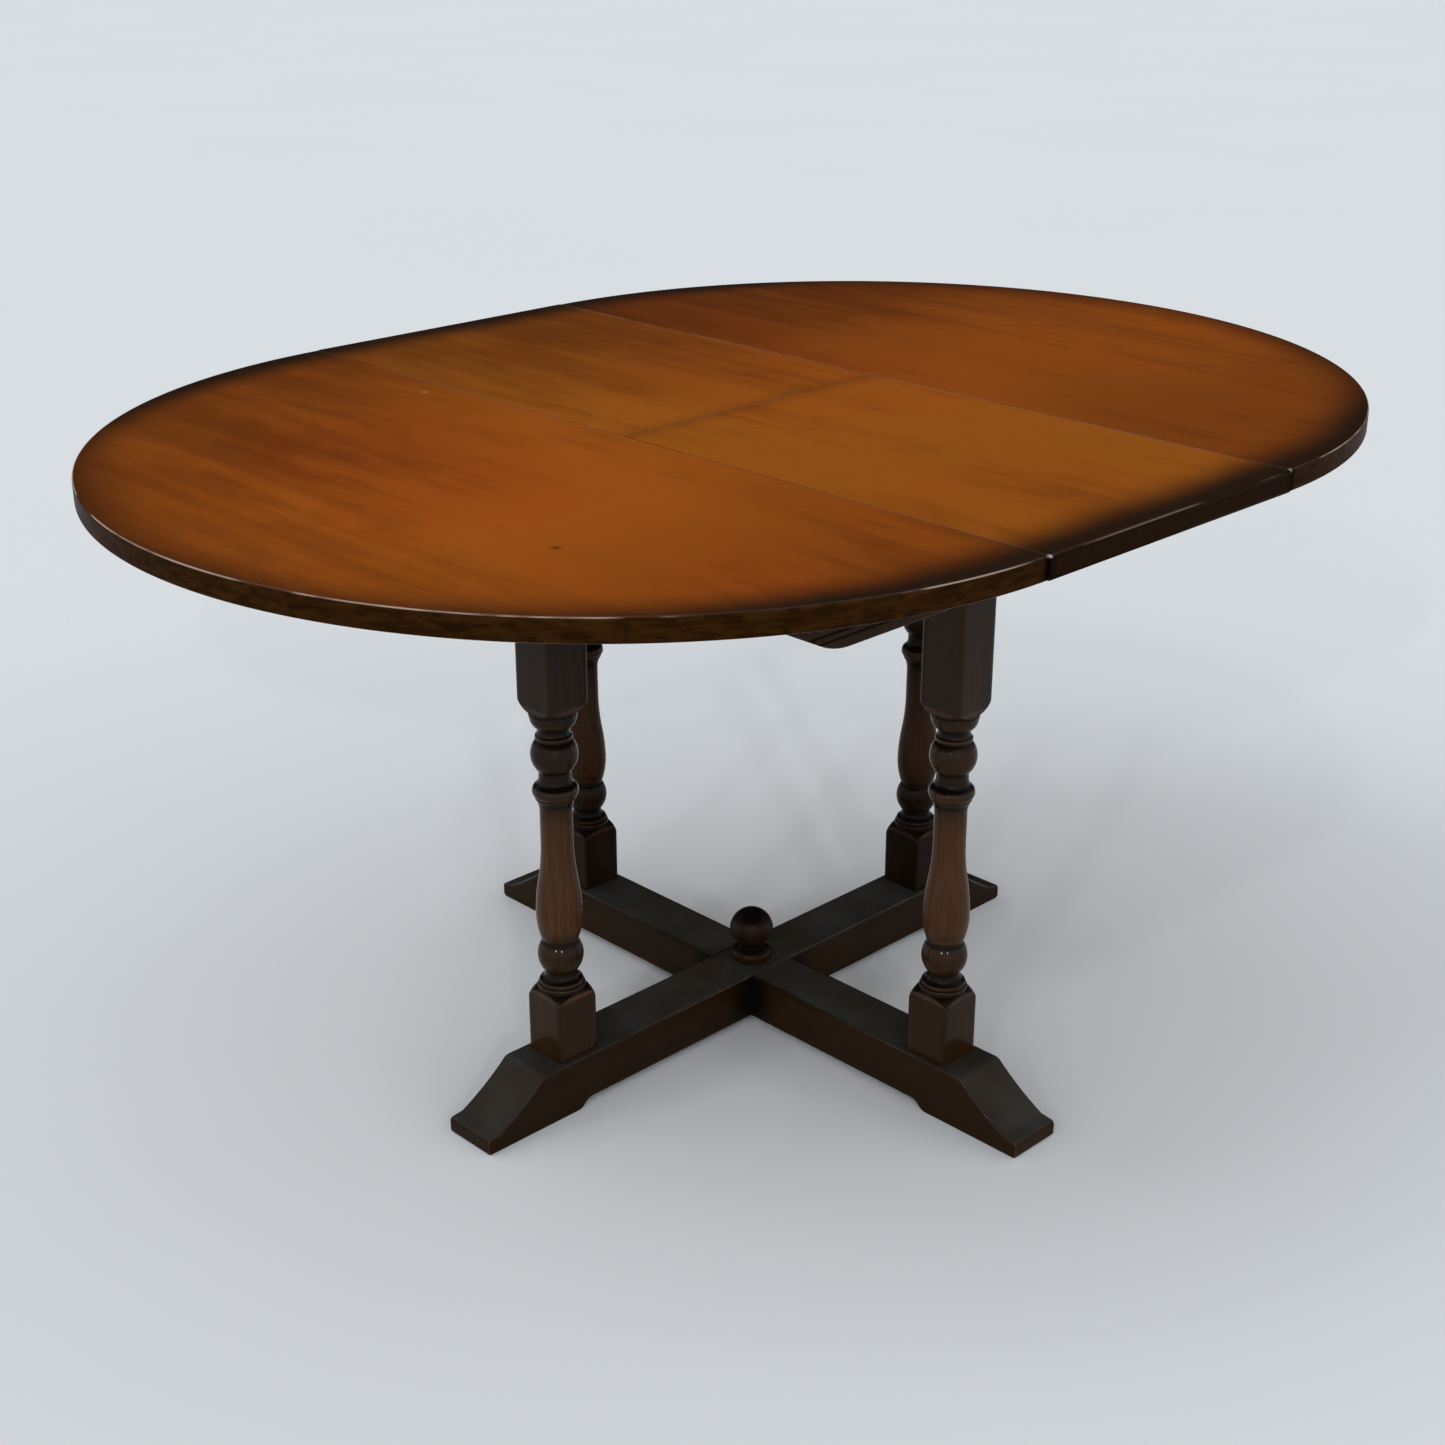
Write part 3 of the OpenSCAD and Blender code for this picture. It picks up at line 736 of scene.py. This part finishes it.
def top_wood(name, light, deep, shift, leaf, far_shade, knots=()):
    """Stained top board: streaky along Y and shaded dark towards the outer edge.

    far_shade is the share of its colour kept at the back, darkened there as painted shade. knots
    are (spot, size, colour).
    """
    g = Graph(name)
    place = g.place()
    figure = wood_figure(g, place, "Y", shift, TOP_RINGS)
    x, y, z = g.split(place)[:3]
    far_x = g.math("ABSOLUTE", x)
    far_y = g.math("ABSOLUTE", y)
    if leaf:
        to_edge = g.math("SUBTRACT", LEAF_HIGH.y, far_y)
    else:
        out = g.math("MAXIMUM", g.math("SUBTRACT", far_x, SEAM_X), 0.0)
        squares = g.math("ADD", g.math("POWER", out, 2.0), g.math("POWER", far_y, 2.0))
        to_edge = g.math("SUBTRACT", END_R, g.math("SQRT", squares))
    middling = g.noise(place, along_grain("Y", *MIDDLING_SCALE), 3.0, 0.6, shift=shift)
    cloud = g.noise(place, CLOUD_SCALE, 2.0, shift=shift)
    mottle = g.noise(place, MOTTLE_SCALE, 2.0, shift=shift)
    tone = g.math("MULTIPLY", figure["broad"], BROAD_SHARE)
    # Tone of the figure and random patches, with painted shade darker towards the back
    for pattern, share in ((figure["fine"], FINE_SHARE), (middling, MIDDLING_SHARE),
                           (mottle, MOTTLE_SHARE), (cloud, CLOUD_SHARE),
                           (g.between(to_edge, 0.05, 0.35), INNER_SHARE), (y, BACK_SHADE_SHARE)):
        tone = g.math("MULTIPLY_ADD", pattern, share, tone)
    colour = g.mix(g.between(tone, *TOP_TONES), deep, light)
    red = g.noise(place, RED_SCALE, 3.0, shift=(5, 2, 1))
    redden = g.between(red, 0.45, 0.7, 0.0, 0.45)
    colour = g.mix(redden, colour, REDDENED, "MULTIPLY")
    # Painted shade: darker towards the back and a little towards the front
    shade_drift = g.math("MULTIPLY_ADD", g.math("SUBTRACT", red, 0.5), 0.5, y)
    back = g.between(shade_drift, -0.05, 0.45, 0.0, 1.0 - far_shade)
    front = g.between(shade_drift, -0.10, -0.45, 0.0, LEAF_FRONT_SHADE if leaf else FRONT_SHADE)
    colour = g.mix(g.math("ADD", back, front), colour, BLACK)
    for spot, size, tint in knots:
        speck = near_point(g, x, y, spot, size)
        colour = g.mix(g.math("MULTIPLY", speck, 0.75), colour, tint)
    colour = g.mix(g.math("MULTIPLY", figure["pores"], 0.3), colour, TOP_PORE)
    # Stain shaded dark towards the outer edge, wider at the ends of the seams
    ragged = g.noise(place, (5, 5, 5), 3.0)
    corner = g.between(far_y, CORNER_FROM, END_R, 0.0, CORNER_EXTRA)
    edge = g.math("MULTIPLY_ADD", g.math("SUBTRACT", ragged, 0.5), -0.03, to_edge)
    edge = g.math("SUBTRACT", edge, corner)
    shade = g.math("POWER", g.between(edge, RIM_OUT, RIM_IN, 1.0, 0.0), RIM_POWER)
    colour = g.mix(shade, colour, RIM)
    if leaf:
        joint = g.between(far_y, 0.0, JOINT_HALF_W, 0.22, 0.0)
        colour = g.mix(joint, colour, JOINT)
    # Bare underside and the stained edge of the board
    under = g.between(z, BOARD_LOW + UNDERSIDE_FADE, BOARD_LOW, 0.0, 0.8)
    colour = g.mix(under, colour, UNDERSIDE)
    side_face = g.between(to_edge, *SIDE_FACE)
    ripple = g.noise(place, (40, 40, 150), 5.0, 0.6, 0.6)
    edge_tone = g.mix(g.between(ripple, 0.30, 0.72), EDGE_DEEP, LEAF_EDGE if leaf else EDGE_LIGHT)
    seam_end = near_point(g, far_x, far_y, (SEAM_X, END_R), SEAM_END_REACH)
    edge_tone = g.mix(seam_end, edge_tone, SEAM_END)
    colour = g.mix(side_face, colour, edge_tone)
    # Seams darkened, finish rubbed through along the arrises with a painted highlight line on top,
    # and chipped at the seam ends
    proud = g.between(g.relief(), 0.2, 0.8)
    at_seam = g.math("MULTIPLY", proud, g.between(to_edge, *SEAM_FADE))
    colour = g.mix(g.math("MULTIPLY", at_seam, 0.9), colour, SEAM)
    spots = g.noise(place, (40, 40, 40), 5.0, 0.7)
    stretches = g.noise(place, (9, 9, 9), 3.0, shift=shift)
    sharp = g.between(g.relief(), 0.62, 1.0)
    worn = g.math("MULTIPLY", sharp, g.between(stretches, 0.42, 0.56))
    top_only = g.between(z, *[BOARD_HIGH - depth for depth in WORN_DEPTHS], 0.1, 1.0)
    worn = g.math("MULTIPLY", worn, top_only)
    # The rubbed arris is also a painted highlight line along the top
    colour = g.mix(g.math("MULTIPLY", worn, 0.25 if leaf else 0.80), colour, ARRIS_WEAR_AND_HIGHLIGHT)
    chip = near_point(g, far_x, far_y, (SEAM_X, END_R), CHIP_REACH)
    chip = g.math("MULTIPLY", chip, g.between(z, *[BOARD_HIGH - depth for depth in CHIP_DEPTHS]))
    colour = g.mix(g.math("MULTIPLY", chip, g.between(spots, 0.22, 0.36)), colour, CHIPPED)
    g.feed(g.shader.inputs["Base Color"], colour)
    lacquer(g, figure, 0.34, 0.12, 0.06, 0.9, dull=g.math("MULTIPLY", side_face, 0.92))
    return g.material


DARK_RINGS = 130.0
DARK_TONES = (0.22, 0.78)
RUBBED_SCALE = (14, 14, 14)
CORNER_SHADE_REACH = 0.112
# How far up a face has to look, from 0 to 1, where dust with painted sheen and painted shade
# begin and where they're full
DUSTING_AND_SHEEN_FACES = (0.60, 0.97)
TOP_SHADE_FACES = (0.30, 0.66)
VASE_RISE = 20 * MM
VASE_FALL = 60 * MM


def dark_wood(name, axis, shift, wear, coat, polished, dye_and_shade=1.0, dusting_and_sheen=0.0, painted_top_shade=0.0,
              joint=False, vase=None):
    """Near-black stained wood, rubbed back to brown on its proud parts.

    wear is how much of the dark colour the proud parts have lost, dusting_and_sheen how grey
    the faces turned up are, with dust and a painted sheen, and painted_top_shade how dark they
    are with painted shade, all from 0 to 1. dye_and_shade scales the brown of the wood, as a
    darker dye and as painted shade. joint paints shade on the sides around the middle of the
    table, and vase holds the heights between which a leg is rubbed back all over.
    """
    g = Graph(name)
    place = g.place()
    figure = wood_figure(g, place, axis, shift, DARK_RINGS)
    facing_up = g.split(g.node("ShaderNodeNewGeometry").outputs["Normal"])[2]
    tone = g.math("MULTIPLY_ADD", figure["fine"], 0.25, g.math("MULTIPLY", figure["broad"], 0.7))
    tone = g.math("MULTIPLY_ADD", figure["rings"], 0.05, tone)
    deep = (*[part * dye_and_shade for part in DARK_DEEP], 1)
    light = (*[part * dye_and_shade for part in DARK_LIGHT], 1)
    colour = g.mix(g.between(tone, *DARK_TONES), deep, light)
    rubbed = g.noise(place, RUBBED_SCALE, 4.0, 0.6, shift=shift)
    proud = g.between(g.relief(), 0.05, 0.9)
    worn = g.math("MULTIPLY", proud, g.between(rubbed, 0.38, 0.68, 0.15, 1.0))
    worn = g.math("MULTIPLY", worn, wear)
    if vase:
        height = g.split(place)[2]
        low, high = vase
        rise = g.between(height, low, low + VASE_RISE)
        fall = g.between(height, high, high - VASE_FALL)
        streaks = g.between(figure["fine"], 0.2, 0.8, 0.27, 0.43)
        streaks = g.math("MULTIPLY_ADD", figure["rings"], 0.1, streaks)
        streaks = g.math("MULTIPLY", streaks, dye_and_shade)
        worn = g.math("MAXIMUM", worn, g.math("MULTIPLY", g.math("MULTIPLY", rise, fall), streaks))
    colour = g.mix(worn, colour, DARK_RUBBED)
    colour = g.mix(g.math("MULTIPLY", figure["pores"], 0.45), colour, DARK_PORE)
    hollow = g.between(g.relief(), -0.02, -0.5)
    colour = g.mix(g.math("MULTIPLY", hollow, 0.9), colour, SETTLED_STAIN_AND_SHADE)
    dull = 0.0
    # Dust with a painted sheen on the faces turned up
    if dusting_and_sheen:
        patches = g.between(rubbed, 0.3, 0.7, 0.28, 0.72)
        dusting_and_sheen_mask = g.math("MULTIPLY", g.between(facing_up, *DUSTING_AND_SHEEN_FACES, 0.0, dusting_and_sheen), patches)
        colour = g.mix(dusting_and_sheen_mask, colour, DUSTING_AND_SHEEN)
    # Painted shade on the faces turned up of turned parts, with less shine there
    if painted_top_shade:
        top_shade_mask = g.between(facing_up, *TOP_SHADE_FACES, 0.0, painted_top_shade)
        colour = g.mix(top_shade_mask, colour, SETTLED_STAIN_AND_SHADE)
        dull = g.math("MULTIPLY", top_shade_mask, 0.7)
    # Painted shade on the sides near the crossing
    if joint:
        across, along = g.split(place)[:2]
        corner = near_point(g, across, along, (0.0, 0.0), CORNER_SHADE_REACH)
        sides = g.between(facing_up, 0.7, 0.3)
        corner_shade_mask = g.math("MULTIPLY", g.between(corner, 0.10, 0.55), sides)
        colour = g.mix(g.math("MULTIPLY", corner_shade_mask, 0.92), colour, CORNER_SHADE)
    g.feed(g.shader.inputs["Base Color"], colour)
    lacquer(g, figure, 0.36, coat, 0.03, polished, dull=dull)
    return g.material


PLAIN_RINGS = 160.0


def plain_wood(name, axis, shift):
    """Unstained wood of the hidden frame."""
    g = Graph(name)
    place = g.place()
    figure = wood_figure(g, place, axis, shift, PLAIN_RINGS)
    tone = g.math("MULTIPLY_ADD", figure["rings"], 0.35, g.math("MULTIPLY", figure["broad"], 0.6))
    colour = g.mix(g.between(tone, 0.25, 0.85), PLAIN_DEEP, PLAIN_LIGHT)
    colour = g.mix(g.math("MULTIPLY", figure["pores"], 0.4), colour, PLAIN_PORE)
    g.feed(g.shader.inputs["Base Color"], colour)
    rough = g.math("MULTIPLY_ADD", figure["fine"], 0.2, 0.55)
    g.feed(g.shader.inputs["Roughness"], rough)
    g.feed(g.shader.inputs["Normal"], g.bump(figure["fine"], 0.35, 0.6 * MM))
    return g.material


TARNISH_SCALE = (120, 120, 120)
MARKS_SCALE = (900, 900, 2500)


def metal(name, bright, dull, rough):
    """Machined metal with fine turning marks and a little tarnish."""
    g = Graph(name)
    place = g.place()
    tarnish = g.noise(place, TARNISH_SCALE, 4.0, 0.6)
    marks = g.noise(place, MARKS_SCALE, 2.0)
    g.feed(g.shader.inputs["Base Color"], g.mix(g.between(tarnish, 0.4, 0.7), bright, dull))
    g.shader.inputs["Metallic"].default_value = 1.0
    g.feed(g.shader.inputs["Roughness"], g.math("MULTIPLY_ADD", tarnish, 0.25, rough - 0.1))
    g.feed(g.shader.inputs["Normal"], g.bump(marks, 0.15, 0.2 * MM))
    return g.material


def paint(piece, material):
    """Gives the whole piece one material."""
    if piece.material_slots:
        for slot in piece.material_slots:
            slot.material = material
    else:
        piece.data.materials.append(material)


# ---------- Putting the table together ----------

def add(piece, node, body, material):
    """Shows the piece in place of a CAD node."""
    piece.data.materials.clear()
    piece.data.materials.append(material)
    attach(piece, body)
    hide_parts(node)


add(end_board(-1), "top_end_left", "end_left",
    top_wood("end_left_wood", END_LIGHT, END_DEEP, (0.3, 0.1, 0.2), leaf=False, far_shade=0.70,
             knots=(((-0.228, 0.298), 7 * MM, FLECK), ((-0.490, -0.238), 8 * MM, KNOT))))
add(end_board(1), "top_end_right", "end_right",
    top_wood("end_right_wood", RIGHT_LIGHT, RIGHT_DEEP, (1.7, 0.6, 0.4), leaf=False,
             far_shade=0.58))
add(leaf_board(-1), "leaf_half_front", "leaf_front",
    top_wood("leaf_front_wood", LEAF_LIGHT, LEAF_DEEP, (2.9, 0.2, 0.9), leaf=True, far_shade=0.74))
add(leaf_board(1), "leaf_half_back", "leaf_back",
    top_wood("leaf_back_wood", LEAF_LIGHT, LEAF_DEEP, (4.1, 0.8, 0.3), leaf=True, far_shade=0.74))

FOOT_WOOD = {"wear": 0.3, "coat": 0.16, "polished": 0.5, "dye_and_shade": 0.78, "dusting_and_sheen": 1.0,
             "joint": True}
add(foot_rail("foot_rail_x", True), "foot_rail_long", "base",
    dark_wood("foot_wood_x", "X", (0.2, 0.4, 0.1), **FOOT_WOOD))
add(foot_rail("foot_rail_y", False), "foot_rail_cross", "base",
    dark_wood("foot_wood_y", "Y", (0.7, 0.3, 0.5), **FOOT_WOOD))
add(finial(), "finial", "base",
    dark_wood("finial_wood", "Z", (0.03, 0.02, 0.3), wear=0.40, coat=0.20, polished=0.20,
              dye_and_shade=0.6, painted_top_shade=0.95))

VASE = (TURN_LOW + 79 * MM, TURN_LOW + 262 * MM)
NEAR_LEG_WOOD = {"wear": 0.75, "coat": 0.45, "polished": 0.9, "dye_and_shade": 0.95}
# The back legs' lower wear and darker stain paint the shade they stand in
BACK_LEGS_IN_SHADE = {"wear": 0.40, "coat": 0.20, "polished": 0.5, "dye_and_shade": 0.45}
LEGS = {"leg_left": (-LEG_OUT, 0), "leg_right": (LEG_OUT, 0),
        "leg_front": (0, -LEG_OUT), "leg_back": (0, LEG_OUT)}
for i, (node, (x, y)) in enumerate(LEGS.items()):
    leg_wood_and_shade = BACK_LEGS_IN_SHADE if node in ("leg_right", "leg_back") else NEAR_LEG_WOOD
    add(leg("turned_" + node, x, y), node, "base",
        dark_wood(node + "_wood", "Z", (0.13 * i, 0.21 * i, 0.4 * i), **leg_wood_and_shade, painted_top_shade=0.85,
                  vase=VASE))

for node, side in (("side_rail_back", 1), ("side_rail_front", -1)):
    add(side_rail("moulded_" + node, side), node, "base",
        dark_wood(node + "_wood", "X", (0.3 * side, 0.1, 0.6), wear=0.4, coat=0.18, polished=0.6))

plain = {axis: plain_wood("plain_wood_" + axis.lower(), axis, (0.4, 0.2, 0.1)) for axis in "XYZ"}
PLAIN_GRAIN = {"bearer_long": "X", "bearer_cross": "Y", "end_tie_left": "Y", "end_tie_right": "Y",
               "runner_left_front": "X", "runner_left_back": "X", "runner_right_front": "X",
               "runner_right_back": "X", "stop_pegs_left": "Z", "stop_pegs_right": "Z"}
for node, axis in PLAIN_GRAIN.items():
    paint(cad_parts[node], plain[axis])

steel = metal("screw_steel", STEEL, STEEL_DULL, 0.32)
brass = metal("hinge_brass", BRASS, BRASS_DULL, 0.30)
for node in ("leg_screws", "tie_screws", "runner_screws_left", "runner_screws_right"):
    paint(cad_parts[node], steel)
for node in ("leaf_barrels_front", "leaf_barrels_back"):
    paint(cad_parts[node], brass)


# ---------- Floor, light and camera ----------

FLOOR_HALF = 60.0
SKY_DARK = 0.012
SKY_LOW = 1.23
SKY_HIGH = 0.74
DARK_SIDE = (0.7071, 0.7071, 0)
WALL_EDGES = (0.75, 0.35)  # Cosine from the dark side where the wall is full and where it ends
HIGH_SKY = (0.45, 0.70)  # Heights on the unit sphere where the high sky begins and is full
LOW_SKY = (0.55, 0.75)  # Heights where the low sky starts to fade and is gone
# Suns by name: azimuth from +X, elevation and apparent size in degrees, and strength
SUNS = {"key": (150, 58, 30, 0.5), "lamp_high": (205, 45, 3, 0.15),
        "lamp_left": (203, 24, 1.6, 0.20), "lamp_right": (236, 24, 1.6, 0.28)}
CAMERA_PLACE = (-1.6622, -1.6443, 1.3543)
CAMERA_AZIMUTH = -44.44
CAMERA_ELEVATION = 22.67
CAMERA_LENS = 53.73
CAMERA_SENSOR = 36


def floor():
    """Wide pale floor."""
    half = FLOOR_HALF
    verts = [(-half, -half, 0), (half, -half, 0), (half, half, 0), (-half, half, 0)]
    piece = new_piece("floor", verts, [(0, 1, 2, 3)], [0.0] * 4)
    g = Graph("floor_paint")
    cloud = g.noise(g.place(), (0.8, 0.8, 0.8), 3.0)
    colour = g.mix(g.between(cloud, 0.3, 0.7), FLOOR_LOW, FLOOR_HIGH)
    g.feed(g.shader.inputs["Base Color"], colour)
    g.shader.inputs["Roughness"].default_value = 0.9
    g.shader.inputs["Specular IOR Level"].default_value = 0.05
    piece.data.materials.append(g.material)


def ramp(tree, value, low, high, out_low, out_high):
    """Smooth step of a value in the sky's nodes."""
    made = tree.nodes.new("ShaderNodeMapRange")
    made.interpolation_type = "SMOOTHSTEP"
    tree.links.new(value, made.inputs[0])
    for socket, number in zip(made.inputs[1:], (low, high, out_low, out_high)):
        socket.default_value = number
    return made.outputs[0]


def combined(tree, operation, a, b):
    """Sum or product of two values in the sky's nodes."""
    made = tree.nodes.new("ShaderNodeMath")
    made.operation = operation
    tree.links.new(a, made.inputs[0])
    tree.links.new(b, made.inputs[1])
    return made.outputs[0]


def sky():
    """Even white studio with a dark wall low on the +X +Y side."""
    world = bpy.data.worlds.new("studio")
    bpy.context.scene.world = world
    world.use_nodes = True
    tree = world.node_tree
    background = tree.nodes["Background"]
    place = tree.nodes.new("ShaderNodeTexCoord").outputs["Generated"]
    split = tree.nodes.new("ShaderNodeSeparateXYZ")
    tree.links.new(place, split.inputs[0])
    facing = tree.nodes.new("ShaderNodeVectorMath")
    facing.operation = "DOT_PRODUCT"
    tree.links.new(place, facing.inputs[0])
    facing.inputs[1].default_value = DARK_SIDE
    away = ramp(tree, facing.outputs["Value"], *WALL_EDGES, SKY_DARK, SKY_LOW)
    above = ramp(tree, split.outputs[2], *HIGH_SKY, 0.0, SKY_HIGH)
    below = ramp(tree, split.outputs[2], *LOW_SKY, 1.0, 0.0)
    strength = combined(tree, "ADD", combined(tree, "MULTIPLY", away, below), above)
    tree.links.new(strength, background.inputs["Strength"])
    background.inputs["Color"].default_value = WHITE


def sun(name, azimuth, elevation, angle, strength):
    """Distant lamp at an azimuth from +X and an elevation, in degrees."""
    light = bpy.data.lights.new(name, "SUN")
    light.angle = math.radians(angle)
    light.energy = strength
    lamp = bpy.data.objects.new(name, light)
    turn, rise = math.radians(azimuth), math.radians(elevation)
    towards = Vector((math.cos(turn) * math.cos(rise), math.sin(turn) * math.cos(rise),
                      math.sin(rise)))
    lamp.rotation_euler = (-towards).to_track_quat("-Z", "Y").to_euler()
    bpy.context.scene.collection.objects.link(lamp)


def camera():
    """Camera in front of the left end, looking down on the table."""
    lens = bpy.data.cameras.new("camera")
    lens.sensor_width = CAMERA_SENSOR
    lens.lens = CAMERA_LENS
    view = bpy.data.objects.new("camera", lens)
    azimuth, elevation = math.radians(CAMERA_AZIMUTH), math.radians(CAMERA_ELEVATION)
    aim = Vector((-math.sin(azimuth) * math.cos(elevation),
                  math.cos(azimuth) * math.cos(elevation), -math.sin(elevation)))
    view.location = CAMERA_PLACE
    view.rotation_euler = aim.to_track_quat("-Z", "Y").to_euler()
    bpy.context.scene.collection.objects.link(view)
    bpy.context.scene.camera = view


floor()
sky()
for lamp_name, lamp in SUNS.items():
    sun(lamp_name, *lamp)
camera()
bpy.context.scene.view_settings.view_transform = "Standard"
